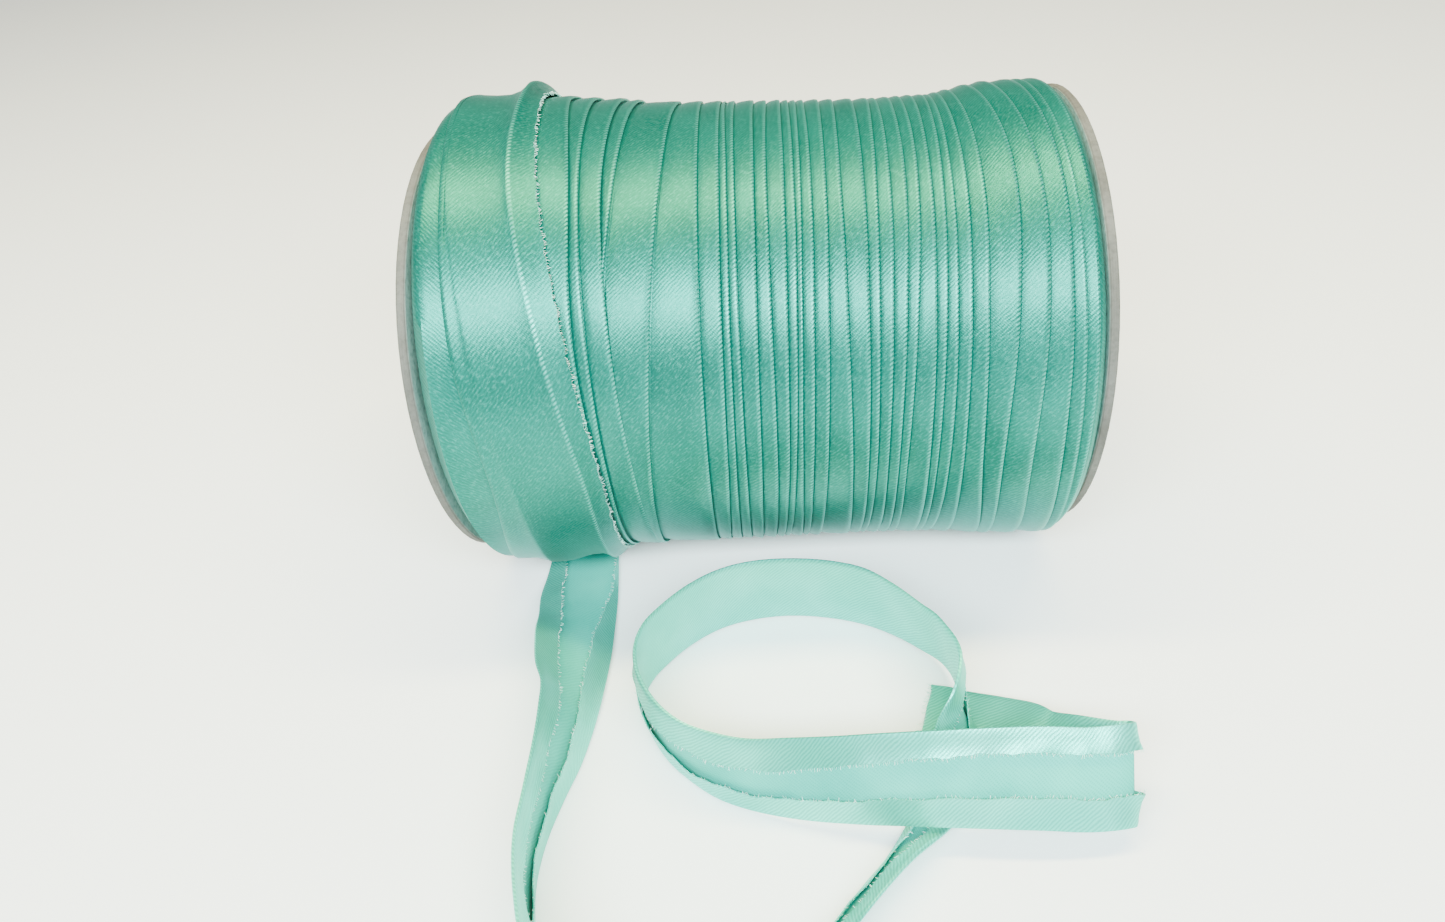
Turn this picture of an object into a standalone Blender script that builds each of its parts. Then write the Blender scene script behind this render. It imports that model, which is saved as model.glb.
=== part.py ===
"""Spool of satin bias tape lying on its side, with the loose end on the table."""
import math

import bmesh
import bpy
from mathutils import Vector

MM = 0.001

# Spool, axis along X, lying on the table at z = 0 with the origin under its middle
DISC_RADIUS = 52.5
DISC_THICKNESS = 2.0
DISC_EDGE_ROUND = 0.35
DISC_INNER_X = 69.4
DISC_STEPS = 72
AXIS_HEIGHT = 52.3
GAP = 0.3

# The discs are a little out of true: X shift per mm of y and of z
LEAN_LEFT = (0.069, -0.035)
LEAN_RIGHT = (-0.039, 0.027)

# Wound tape. Angles run from the top of the roll over the front, in degrees
WOUND_HALF = DISC_INNER_X - GAP
WOUND_STEPS = 68
FRONT_TOP, FRONT_LOW = -20.0, 140.0
STEP_RUN = 0.3
LEAST_COLUMN = 0.22

# Radius of the wound form along the axis: at the top and low at the front
PROFILE_COLUMNS = ("x", "top", "low")
PROFILE = (
    (-69.1, 49.0, 45.5),
    (-68.2, 54.6, 51.6),
    (-66.8, 57.3, 55.2),
    (-64.5, 58.1, 56.2),
    (-60.0, 57.9, 55.4),
    (-52.0, 57.9, 55.6),
    (-44.0, 57.2, 55.1),
    (-34.0, 56.0, 54.2),
    (-20.0, 54.3, 54.1),
    (0.0, 53.2, 54.2),
    (25.0, 51.9, 54.1),
    (42.0, 51.8, 54.6),
    (54.0, 53.6, 55.7),
    (63.0, 53.8, 55.7),
    (66.6, 53.8, 55.9),
    (68.2, 52.4, 54.6),
    (69.1, 48.0, 50.0),
)

# Fold edges that show on the roll: where each lies at four angles down the
# front, how far it stands up at the top and the foot, and the share that
# drops away at its right side
TURN_ANGLES = (-15.0, 30.0, 75.0, 125.0)
TURN_COLUMNS = ("top", "upper", "lower", "foot", "rise_top", "rise_foot", "drop")
TURNS = (
    (-66.0, -61.7, -58.1, -60.6, 0.5, 0.7, 1.0),
    (-64.2, -59.6, -54.1, -52.4, 0.3, 0.3, 0.6),
    (-48.9, -46.6, -39.5, -37.6, 3.0, 2.0, 0.35),
    (-46.3, -41.6, -35.4, -35.6, 0.8, 1.0, 1.0),
    (-39.6, -35.9, -34.2, -34.2, 0.6, 0.5, 1.0),
    (-34.8, -33.8, -32.5, -32.7, 0.6, 0.6, 1.0),
    (-28.6, -29.2, -27.6, -26.0, 0.7, 0.5, 1.0),
    (-25.0, -26.9, -26.8, -25.2, 0.5, 0.3, 1.0),
    (-15.9, -18.0, -21.6, -23.6, 0.5, 0.6, 1.0),
    (-10.6, -10.1, -10.5, -11.9, 0.4, 0.4, 1.0),
    (-5.4, -5.0, -5.6, -7.6, 0.4, 0.4, 1.0),
    (-3.0, -2.6, -2.8, -3.8, 0.3, 0.3, 1.0),
    (1.5, 1.4, 0.6, -1.0, 0.4, 0.4, 1.0),
    (4.4, 3.9, 3.8, 2.3, 0.3, 0.3, 1.0),
    (7.6, 7.4, 6.6, 4.4, 0.4, 0.4, 1.0),
    (10.8, 10.3, 9.0, 7.4, 0.3, 0.3, 1.0),
    (12.9, 13.0, 11.7, 10.0, 0.3, 0.3, 1.0),
    (16.5, 15.8, 14.7, 12.8, 0.4, 0.4, 1.0),
    (19.7, 18.9, 19.0, 19.3, 0.4, 0.4, 1.0),
    (24.1, 23.5, 22.8, 22.2, 0.4, 0.4, 1.0),
    (27.4, 25.9, 24.7, 23.6, 0.3, 0.3, 1.0),
    (29.5, 28.7, 27.2, 26.3, 0.3, 0.3, 1.0),
    (32.7, 31.8, 29.6, 28.5, 0.4, 0.4, 1.0),
    (35.1, 34.2, 31.6, 30.3, 0.3, 0.3, 1.0),
    (37.9, 36.9, 35.5, 35.1, 0.4, 0.4, 1.0),
    (40.6, 39.2, 37.4, 36.6, 0.3, 0.3, 1.0),
    (42.0, 41.0, 39.8, 38.9, 0.3, 0.3, 1.0),
    (43.9, 43.7, 42.4, 42.8, 0.5, 0.4, 1.0),
    (46.6, 46.9, 45.7, 48.7, 0.5, 0.5, 1.0),
    (51.6, 53.1, 50.8, 51.6, 0.6, 0.6, 1.0),
    (55.6, 58.1, 56.5, 57.8, 0.6, 0.6, 1.0),
    (60.8, 62.1, 61.7, 64.2, 0.6, 0.6, 1.0),
)

# Slack of the last turn low at the front: place, spread and height
SLACK = {"x": -50.0, "angle": 134.0, "wide": 6.5, "long": 15.0, "height": 1.8}

# Loose end, a folded strip. Each row is one station of its middle line: place,
# height over the table, the way from one edge to the other as heading and
# slope in degrees, and half the width there
STRIP_COLUMNS = ("x", "y", "height", "heading", "slope", "half")
STRIP = (
    (-49.4, -27.0, 0.8, 0, 0, 8.8),
    (-49.3, -35.0, 0.8, 0, 0, 9.3),
    (-48.9, -45.0, 2.2, 0, -9, 9.7),
    (-48.4, -56.0, 4.4, 0, -22, 9.9),
    (-47.4, -67.0, 7.0, 0, -39, 10.0),
    (-46.4, -79.0, 8.9, 0, -55, 10.0),
    (-46.0, -86.0, 9.7, 0, -65, 10.0),
    (-46.4, -94.0, 10.1, 0, -72, 10.0),
    (-47.6, -103.0, 10.3, 0, -81, 10.0),
    (-49.0, -114.0, 10.3, 0, -88, 10.0),
    (-49.4, -124.0, 10.3, 0, -89, 10.0),
    (-47.6, -135.0, 10.3, 30, -89, 10.0),
    (-43.5, -147.0, 10.3, 45, -89, 10.0),
    (-34.5, -157.0, 10.3, 60, -88, 10.0),
    (-22.5, -161.8, 10.3, 90, -86, 10.0),
    (-10.0, -159.0, 9.6, 120, -80, 9.3),
    (0.5, -150.2, 7.6, 135, -70, 7.5),
    (6.5, -141.4, 5.9, 140, -60, 6.0),
    (11.6, -134.2, 4.9, 142, -54, 5.0),
    (17.8, -126.9, 4.7, 145, -52, 5.0),
    (22.5, -121.8, 4.4, 146, -48, 4.8),
    (26.6, -117.0, 3.5, 146, -34, 4.6),
    (30.0, -112.2, 2.3, 146, -14, 4.5),
    (32.7, -107.2, 2.6, 148, 14, 5.0),
    (35.2, -101.8, 5.2, 150, 38, 6.0),
    (37.0, -96.4, 8.2, 155, 58, 7.0),
    (38.2, -91.0, 10.8, 160, 73, 8.6),
    (38.9, -85.0, 12.3, 175, 81, 9.8),
    (38.2, -78.2, 12.2, 188, 80, 10.0),
    (36.0, -71.9, 11.2, 212, 77, 10.0),
    (32.6, -67.3, 10.6, 220, 79, 10.0),
    (27.6, -62.1, 10.4, 235, 82, 10.0),
    (21.3, -57.5, 10.4, 250, 86, 10.0),
    (13.9, -54.8, 10.4, 260, 87, 10.0),
    (4.0, -53.3, 10.4, 270, 87, 10.0),
    (-5.4, -53.9, 10.4, 280, 88, 10.0),
    (-12.7, -56.2, 10.4, 300, 88, 10.0),
    (-19.5, -60.7, 10.4, 320, 88, 10.0),
    (-25.2, -66.6, 10.4, 330, 88, 10.0),
    (-29.0, -72.2, 10.4, 0, 88, 10.0),
    (-30.5, -77.8, 10.4, 10, 88, 10.0),
    (-29.5, -83.9, 10.4, 200, 89, 10.0),
    (-26.9, -90.1, 10.4, 220, 88, 10.0),
    (-23.6, -95.2, 10.4, 240, 88, 10.0),
    (-19.1, -99.6, 10.4, 250, 89, 10.0),
    (-13.4, -103.2, 10.4, 90, 86, 10.0),
    (-6.0, -106.0, 10.5, 88, 82, 10.0),
    (3.0, -107.9, 11.3, 86, 75, 10.0),
    (13.3, -109.8, 12.9, 86, 70, 10.0),
    (23.7, -111.5, 14.9, 86, 65, 10.0),
    (36.7, -112.3, 15.5, 85, 58, 10.0),
    (50.6, -112.2, 14.6, 84, 50, 10.0),
    (59.6, -112.1, 13.5, 84, 48, 10.0),
    (66.6, -111.2, 12.9, 84, 47, 10.0),
    (68.9, -110.2, 12.0, 84, 47, 10.0),
    (68.9, -108.8, 10.6, 84, 47, 10.0),
    (66.6, -108.0, 9.8, 84, 46, 10.0),
    (60.0, -104.9, 8.1, 84, 38, 10.0),
    (53.0, -99.5, 5.4, 82, 22, 10.0),
    (46.5, -93.3, 2.5, 79, 7, 10.0),
    (40.2, -89.2, 0.9, 76, 0, 10.0),
    (31.9, -86.3, 0.8, 75, 0, 10.0),
)
STATION_SPACING = 5.6
LEAST_SUBSTEPS = 2

# Cross-section of the folded strip: a flap along each edge leaves a shallow
# channel between their raw edges on the wrong side
STRIP_SATIN = -0.55
STRIP_CHANNEL = 0.35
STRIP_FLAP = 0.75
FLAP_INNER = 0.42
DOUBLED_THICKER = 1.35


def clearScene():
    for item in list(bpy.data.objects):
        bpy.data.objects.remove(item, do_unlink=True)


def makeMaterial(name, color, roughness):
    material = bpy.data.materials.new(name)
    material.use_nodes = True
    shader = material.node_tree.nodes["Principled BSDF"]
    shader.inputs["Base Color"].default_value = (*color, 1.0)
    shader.inputs["Roughness"].default_value = roughness
    shader.inputs["Metallic"].default_value = 0.0
    return material


def meshObject(name, points, faces, material):
    mesh = bpy.data.meshes.new(name)
    mesh.from_pydata([Vector(p) * MM for p in points], [], faces)
    work = bmesh.new()
    work.from_mesh(mesh)
    bmesh.ops.recalc_face_normals(work, faces=work.faces)
    work.to_mesh(mesh)
    work.free()
    mesh.materials.append(material)
    mesh.shade_smooth()
    mesh.set_sharp_from_angle(angle=math.radians(40))
    item = bpy.data.objects.new(name, mesh)
    bpy.context.collection.objects.link(item)
    return item


def lerp(a, b, t):
    return a + (b - a) * t


def smooth(t):
    t = min(max(t, 0.0), 1.0)
    return t * t * (3.0 - 2.0 * t)


def lean(x, y, z):
    """X shift of a point of the spool, from disc to disc."""
    share = (DISC_INNER_X - x) / (2.0 * DISC_INNER_X)
    left = LEAN_LEFT[0] * y + LEAN_LEFT[1] * z
    right = LEAN_RIGHT[0] * y + LEAN_RIGHT[1] * z
    return lerp(right, left, share)


def spoolPoint(x, angle, radius):
    """A point of the spool, leaned with it and pressed flat where it lies."""
    turn = math.radians(angle)
    y = -radius * math.sin(turn)
    z = max(radius * math.cos(turn), -AXIS_HEIGHT)
    return (x + lean(x, y, z), y, z + AXIS_HEIGHT)


def turned(rings, steps):
    """Closed solid from rings of points along the axis, capped at both ends."""
    points = [p for ring in rings for p in ring]
    faces = []
    for i in range(len(rings) - 1):
        for j in range(steps):
            k = (j + 1) % steps
            faces.append((i * steps + j, i * steps + k,
                          (i + 1) * steps + k, (i + 1) * steps + j))
    for i, ring in ((0, rings[0]), (len(rings) - 1, rings[-1])):
        hub = len(points)
        points.append(tuple(sum(axis) / steps for axis in zip(*ring)))
        for j in range(steps):
            k = (j + 1) % steps
            faces.append((hub, i * steps + k, i * steps + j))
    return points, faces


def makeDisc(name, inner, outer, material):
    """Board disc from its inner to its outer face, its rim worn round."""
    way = 1.0 if outer > inner else -1.0
    profile = (
        (inner, DISC_RADIUS - DISC_EDGE_ROUND),
        (inner + way * DISC_EDGE_ROUND, DISC_RADIUS),
        (outer - way * DISC_EDGE_ROUND, DISC_RADIUS),
        (outer, DISC_RADIUS - DISC_EDGE_ROUND),
    )
    rings = []
    for x, radius in profile:
        rings.append([spoolPoint(x, 360.0 * j / DISC_STEPS, radius)
                      for j in range(DISC_STEPS)])
    points, faces = turned(rings, DISC_STEPS)
    return meshObject(name, points, faces, material)


def baseRadius(x, angle):
    """Radius of the wound form, blended from its top to its low profile."""
    share = 0.5 + 0.5 * math.cos(math.radians(angle + 31.0))
    for near, far in zip(PROFILE, PROFILE[1:]):
        if x <= far[0]:
            break
    t = min(max((x - near[0]) / (far[0] - near[0]), 0.0), 1.0)
    return lerp(lerp(near[2], far[2], t), lerp(near[1], far[1], t), share)


def slack(x, angle):
    across = (x - SLACK["x"]) / SLACK["wide"]
    along = (angle - SLACK["angle"]) / SLACK["long"]
    return SLACK["height"] * math.exp(-across * across - along * along)


def turnAt(row, angle):
    """Place and rise of one fold edge; behind, it runs back to its top."""
    riseTop, riseFoot, drop = row[4:]
    front = min(angle, FRONT_LOW)
    x = 0.0
    for place, here in zip(row, TURN_ANGLES):
        weight = 1.0
        for other in TURN_ANGLES:
            if other != here:
                weight *= (front - other) / (here - other)
        x += place * weight
    rise = lerp(riseTop, riseFoot, smooth(front / TURN_ANGLES[-1]))
    if angle > FRONT_LOW:
        back = smooth((angle - FRONT_LOW) / (360.0 + FRONT_TOP - FRONT_LOW))
        atTop, riseThere = turnAt(row, FRONT_TOP)[:2]
        x, rise = lerp(x, atTop, back), lerp(rise, riseThere, back)
    return x, rise, drop


def makeWound(name, material):
    """The wound tape, with the fold edges of its top layer as low steps."""
    shoulder = [row[0] for row in PROFILE if abs(row[0]) > 64.4]
    columns = []
    for j in range(WOUND_STEPS):
        angle = FRONT_TOP + 360.0 * j / WOUND_STEPS
        line = [(x, 0.0) for x in shoulder if x < 0.0]
        for row in TURNS:
            x, rise, drop = turnAt(row, angle)
            line.append((x - STEP_RUN, rise))
            line.append((x + STEP_RUN, rise * (1.0 - drop)))
        line += [(x, 0.0) for x in shoulder if x > 0.0]
        spaced = []
        for x, rise in line:
            if spaced:
                x = max(x, spaced[-1][0] + LEAST_COLUMN)
            spaced.append((x, rise))
        columns.append([
            spoolPoint(x, angle, baseRadius(x, angle) + rise + slack(x, angle))
            for x, rise in spaced])
    rings = [[column[i] for column in columns] for i in range(len(columns[0]))]
    points, faces = turned(rings, WOUND_STEPS)
    return meshObject(name, points, faces, material)


def stationValues(row):
    x, y, height, heading, slope, half = row
    h, s = math.radians(heading), math.radians(slope)
    across = (math.cos(s) * math.cos(h), math.cos(s) * math.sin(h), math.sin(s))
    return (x, y, height, *across, half)


def routeStations():
    """Stations of the loose end, on a smooth curve through the table's rows."""
    rows = [stationValues(row) for row in STRIP]
    stations = []
    for i in range(len(rows) - 1):
        a, b = rows[max(i - 1, 0)], rows[i]
        c, d = rows[i + 1], rows[min(i + 2, len(rows) - 1)]
        run = math.dist(b[:3], c[:3])
        before = max(math.dist(a[:3], b[:3]), 0.3 * run)
        after = max(math.dist(c[:3], d[:3]), 0.3 * run)
        count = max(LEAST_SUBSTEPS if run < 4.0 else 1,
                    round(run / STATION_SPACING))
        for j in range(count):
            t = j / count
            values = []
            for va, vb, vc, vd in zip(a, b, c, d):
                slopeB = ((vc - vb) / run + (vb - va) / before) / 2.0 * run
                slopeC = ((vd - vc) / after + (vc - vb) / run) / 2.0 * run
                values.append(
                    vb * (2 * t ** 3 - 3 * t * t + 1) + slopeB * (t ** 3 - 2 * t * t + t)
                    + vc * (3 * t * t - 2 * t ** 3) + slopeC * (t ** 3 - t * t))
            stations.append(values)
    stations.append(list(rows[-1]))
    return stations


def sectionPoints(half):
    """Outline of the folded strip, as places across it and through it."""
    thick = lerp(DOUBLED_THICKER, 1.0, smooth((half - 5.0) / 5.0))
    satin, channel, flap = (thick * v for v in (STRIP_SATIN, STRIP_CHANNEL, STRIP_FLAP))
    outline = (
        (-1.0, satin * 0.55), (-0.96, satin), (0.0, satin), (0.96, satin),
        (1.0, satin * 0.55), (1.0, flap * 0.6), (0.94, flap),
        (FLAP_INNER, flap), (FLAP_INNER - 0.02, channel),
        (-FLAP_INNER + 0.02, channel), (-FLAP_INNER, flap),
        (-0.94, flap), (-1.0, flap * 0.6),
    )
    return [(u * half, v) for u, v in outline]


def makeLooseEnd(name, material):
    """The loose end as one strip swept along its route."""
    stations = routeStations()
    middles = [Vector(s[:3]) for s in stations]
    points = []
    length = 0.0
    for i, station in enumerate(stations):
        ahead = middles[min(i + 1, len(middles) - 1)]
        behind = middles[max(i - 1, 0)]
        along = (ahead - behind).normalized()
        across = Vector(station[3:6])
        across = (across - along * across.dot(along)).normalized()
        wrong = along.cross(across)
        if i:
            length += (middles[i] - middles[i - 1]).length
        ring = [middles[i] + across * u + wrong * v
                for u, v in sectionPoints(station[6])]
        rest = Vector((0.0, 0.0, max(0.0, -min(p.z for p in ring))))
        points += [tuple(p + rest) for p in ring]
    size = len(points) // len(stations)
    faces = []
    for i in range(len(stations) - 1):
        for j in range(size):
            k = (j + 1) % size
            faces.append((i * size + j, (i + 1) * size + j,
                          (i + 1) * size + k, i * size + k))
    faces.append(tuple(range(size)))
    faces.append(tuple(range(len(points) - size, len(points)))[::-1])
    print("loose end: length %.0f mm, %d stations" % (length, len(stations)))
    return meshObject(name, points, faces, material)


clearScene()
satin = makeMaterial("satin_tape", (0.08, 0.54, 0.40), 0.38)
wrongSide = makeMaterial("satin_tape_loose", (0.11, 0.60, 0.48), 0.5)
board = makeMaterial("grey_board", (0.30, 0.29, 0.25), 0.85)
boardTwo = makeMaterial("grey_board_right", (0.30, 0.29, 0.25), 0.85)

outerX = DISC_INNER_X + DISC_THICKNESS
spool = bpy.data.objects.new("spool", None)
bpy.context.collection.objects.link(spool)
for piece in (makeDisc("flange_left", -DISC_INNER_X, -outerX, board),
              makeDisc("flange_right", DISC_INNER_X, outerX, boardTwo),
              makeWound("wound_tape", satin)):
    piece.parent = spool
makeLooseEnd("loose_tape", wrongSide)
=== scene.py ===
import math
import random

import bmesh
import bpy
from mathutils import Matrix, Vector


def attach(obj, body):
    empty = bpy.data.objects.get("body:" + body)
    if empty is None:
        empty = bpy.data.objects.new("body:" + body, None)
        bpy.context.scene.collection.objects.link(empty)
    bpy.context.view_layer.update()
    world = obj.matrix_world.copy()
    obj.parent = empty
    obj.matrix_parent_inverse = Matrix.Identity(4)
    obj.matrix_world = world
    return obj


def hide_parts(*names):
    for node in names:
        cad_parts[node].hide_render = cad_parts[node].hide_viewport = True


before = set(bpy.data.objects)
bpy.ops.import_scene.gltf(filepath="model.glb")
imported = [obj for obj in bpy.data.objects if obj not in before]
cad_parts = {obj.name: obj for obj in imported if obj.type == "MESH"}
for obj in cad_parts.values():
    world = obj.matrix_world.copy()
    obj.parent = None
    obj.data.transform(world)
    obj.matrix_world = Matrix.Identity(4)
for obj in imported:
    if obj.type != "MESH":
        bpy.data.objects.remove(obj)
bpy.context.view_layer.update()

print("frame loaded:", sorted(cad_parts))


# camera, at the photo's place; sizes below are in mm unless a name says otherwise
view = {
    "lens": 27.405,
    "sensor": 36.0,
    "place": (3.8325, -241.1619, 197.2047),
    "right": (0.9971178, 0.0098768, -0.0752229),
    "up": (0.0530266, 0.6183800, 0.7840882),
    "ahead": (-0.0542606, 0.7858171, -0.6160740),
}


def placeCamera():
    data = bpy.data.cameras.new("photoView")
    data.lens = view["lens"]
    data.sensor_width = view["sensor"]
    data.sensor_fit = "HORIZONTAL"
    data.clip_start = 0.01
    camera = bpy.data.objects.new("photoView", data)
    turn = Matrix((view["right"], view["up"], [-a for a in view["ahead"]])).transposed()
    camera.matrix_world = Matrix.Translation(Vector(view["place"]) * 0.001) @ turn.to_4x4()
    bpy.context.collection.objects.link(camera)
    bpy.context.scene.camera = camera


placeCamera()
print("camera placed")


# small helpers
def lerp(a, b, t):
    return a + (b - a) * t


def smooth(t):
    t = min(max(t, 0.0), 1.0)
    return t * t * (3.0 - 2.0 * t)


def throughKnots(knots, values, at):
    # soft curve through the values, straight on past both ends
    last = len(knots) - 1

    def slope(j):
        a, b = max(j - 1, 0), min(j + 1, last)
        return (values[b] - values[a]) / (knots[b] - knots[a])

    if at <= knots[0]:
        return values[0] + slope(0) * (at - knots[0])
    if at >= knots[last]:
        return values[last] + slope(last) * (at - knots[last])
    i = 0
    while at > knots[i + 1]:
        i += 1
    run = knots[i + 1] - knots[i]
    t = (at - knots[i]) / run
    return (values[i] * (2 * t ** 3 - 3 * t * t + 1) + slope(i) * run * (t ** 3 - 2 * t * t + t)
            + values[i + 1] * (3 * t * t - 2 * t ** 3) + slope(i + 1) * run * (t ** 3 - t * t))


def wobble(at, seed, waves=((1.0, 1.0), (0.53, 0.6), (2.3, 0.35))):
    # an uneven line between about -1 and 1, the same on each run
    total = sum(size * math.sin(at * rate + seed * (2.1 + 3.7 * n))
                for n, (rate, size) in enumerate(waves))
    return total / sum(size for _, size in waves)


class Weaving:
    # gathers points, faces, cloth coordinates and finishes of one piece
    sharpAbove = 60.0        # degrees between two faces

    def __init__(self):
        self.points, self.faces, self.cloth, self.finish = [], [], [], []

    def strip(self, sections, finishes):
        # sections: rows of (point, cloth u, cloth v); finishes: one for each side of the section
        size = len(sections[0])
        start = len(self.points)
        for row in sections:
            self.points += [p for p, _, _ in row]
        rows = len(sections)
        for i in range(rows - 1):
            n = i + 1
            for j in range(size):
                k = (j + 1) % size
                self.faces.append((start + i * size + j, start + i * size + k,
                                   start + n * size + k, start + n * size + j))
                a, b = sections[i][j], sections[i][k]
                c, d = sections[n][k], sections[n][j]
                self.cloth += [a[1:], b[1:], c[1:], d[1:]]
                self.finish.append(finishes[j])
        for row, way in ((0, 1), (rows - 1, -1)):      # both ends are closed
            ring = [start + row * size + j for j in range(size)][::way]
            self.faces.append(tuple(ring))
            self.cloth += [sections[row][r - start - row * size][1:] for r in ring]
            self.finish.append(finishes[0])

    def piece(self, name, materials):
        mesh = bpy.data.meshes.new(name)
        mesh.from_pydata([Vector(p) * 0.001 for p in self.points], [], self.faces)
        layer = mesh.uv_layers.new(name="clothMm")
        for spot, uv in zip(layer.data, self.cloth):
            spot.uv = uv
        for face, finish in zip(mesh.polygons, self.finish):
            face.material_index = finish
        for material in materials:
            mesh.materials.append(material)
        work = bmesh.new()
        work.from_mesh(mesh)
        bmesh.ops.recalc_face_normals(work, faces=work.faces)
        work.to_mesh(mesh)
        work.free()
        mesh.shade_smooth()
        mesh.set_sharp_from_angle(angle=math.radians(self.sharpAbove))
        item = bpy.data.objects.new(name, mesh)
        bpy.context.collection.objects.link(item)
        return item


# the roll's form, the same as its solid's
spool = {
    "innerX": 69.4,
    "axisHeight": 52.3,
    "leanLeft": (0.069, -0.035),     # X shift of the disc per mm of y and of z
    "leanRight": (-0.039, 0.027),
    "topAngle": -31.0,               # where the first radius holds, the other one opposite
    "profile": (                     # x, radius at the top, radius low at the front
        (-69.1, 49.0, 44.3), (-68.2, 54.4, 47.8), (-66.8, 57.3, 52.4),
        (-64.5, 58.1, 56.0), (-60.0, 57.9, 55.4), (-52.0, 57.9, 55.6),
        (-44.0, 57.2, 55.1), (-34.0, 56.0, 54.2), (-20.0, 54.3, 54.1),
        (0.0, 53.2, 54.2), (25.0, 51.9, 54.1), (42.0, 51.8, 54.6),
        (54.0, 53.6, 55.7), (63.0, 53.8, 55.7), (66.6, 53.8, 55.9),
        (68.2, 52.4, 54.6), (69.1, 48.0, 50.0),
    ),
    "innerSides": 120,
    "innerStep": 2.5,                # between rings along the axis
    "innerSunk": 0.55,               # how far the form lies under the turns, between these two x
    "sunkFrom": -63.0,
    "sunkTo": 66.0,
    "innerCloth": 2.9,               # cloth coordinate from one side to the next
}


def leanAt(x, y, z):
    share = (spool["innerX"] - x) / (2.0 * spool["innerX"])
    left = spool["leanLeft"][0] * y + spool["leanLeft"][1] * z
    right = spool["leanRight"][0] * y + spool["leanRight"][1] * z
    return lerp(right, left, share)


def rollPoint(x, angle, radius):
    # angles run from the top of the roll over the front, in degrees
    turn = math.radians(angle)
    y = -radius * math.sin(turn)
    z = max(radius * math.cos(turn), -spool["axisHeight"])       # flat on the table
    return (x + leanAt(x, y, z), y, z + spool["axisHeight"])


def rollRadius(x, angle):
    share = 0.5 + 0.5 * math.cos(math.radians(angle - spool["topAngle"]))
    rows = spool["profile"]
    for near, far in zip(rows, rows[1:]):
        if x <= far[0]:
            break
    t = min(max((x - near[0]) / (far[0] - near[0]), 0.0), 1.0)
    return lerp(lerp(near[2], far[2], t), lerp(near[1], far[1], t), share)


# wound turns: right fold edge of each visible turn, down the front
turns = {
    "angles": (-10.0, 25.0, 60.0, 95.0, 130.0),
    "stepDegrees": 3.0,
    "clothRadius": 54.0,   # for the length that a step takes of the tape
    "foot": 136.0,         # edges hold their place below this angle
    "shift": 0.09,         # how unevenly the edges run
    "thinnest": 0.5,
    "sink": 0.9,           # for a turn that its neighbours cover
    "fullWide": 2.4,       # a turn this wide shows its whole rise
    "backFrom": -14.0,     # behind this angle a turn runs to the foot of the next one to the left
    "tuck": 1.3,
    "foldRound": 0.42,
    "edges": (             # x at the five angles, rise at the top, rise at the foot
        (-49.0, -47.3, -41.8, -37.2, -38.1, 3.0, 2.0),
        (-39.9, -35.9, -35.4, -34.0, -34.6, 0.6, 0.5),
        (-34.8, -34.0, -32.9, -32.3, -32.9, 0.55, 0.5),
        (-28.8, -29.4, -28.2, -26.7, -26.0, 0.6, 0.5),
        (-25.2, -26.9, -29.5, -29.6, -29.0, 0.5, 0.4),
        (-16.0, -17.7, -20.3, -23.2, -25.2, 0.45, 0.5),
        (-10.5, -10.1, -10.3, -11.0, -12.1, 0.4, 0.4),
        (-6.0, -5.7, -6.0, -7.0, -8.9, 0.35, 0.35),
        (-4.9, -4.2, -4.4, -5.2, -6.4, 0.3, 0.35),
        (-2.9, -2.6, -2.6, -3.1, -4.0, 0.3, 0.35),
        (1.5, 1.4, 1.0, 0.1, -1.2, 0.4, 0.4),
        (4.4, 3.9, 3.9, 3.5, 2.0, 0.35, 0.35),
        (7.6, 7.5, 7.0, 5.9, 4.0, 0.4, 0.4),
        (9.5, 9.5, 8.8, 7.4, 5.5, 0.3, 0.3),
        (11.1, 10.8, 9.9, 8.8, 8.2, 0.3, 0.35),
        (13.0, 13.0, 12.2, 11.0, 9.8, 0.35, 0.35),
        (16.4, 15.9, 15.1, 14.0, 12.6, 0.4, 0.4),
        (19.6, 18.9, 18.9, 19.2, 19.3, 0.4, 0.45),
        (24.1, 23.6, 23.0, 22.5, 22.1, 0.4, 0.4),
        (27.6, 26.1, 25.0, 24.3, 23.5, 0.35, 0.35),
        (29.5, 28.9, 27.7, 26.6, 26.3, 0.35, 0.35),
        (32.6, 32.0, 30.3, 28.8, 28.6, 0.35, 0.4),
        (35.1, 34.5, 32.5, 30.6, 30.5, 0.35, 0.35),
        (37.8, 37.1, 36.0, 35.1, 35.2, 0.4, 0.4),
        (40.5, 39.4, 38.0, 36.8, 36.7, 0.35, 0.35),
        (41.9, 41.2, 40.2, 39.3, 38.9, 0.35, 0.35),
        (43.9, 43.9, 42.8, 42.1, 43.0, 0.5, 0.45),
        (46.6, 47.1, 46.0, 46.0, 49.5, 0.5, 0.5),
        (51.1, 53.2, 51.7, 50.1, 52.3, 0.6, 0.6),
        (55.5, 58.0, 57.3, 55.9, 58.6, 0.6, 0.6),
        (60.7, 62.1, 61.8, 62.0, 64.8, 0.6, 0.6),
        (62.9, 64.2, 64.3, 64.9, 66.6, 0.4, 0.4),
        (66.3, 67.0, 66.8, 67.0, 67.9, 0.3, 0.3),
    ),
}
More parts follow.
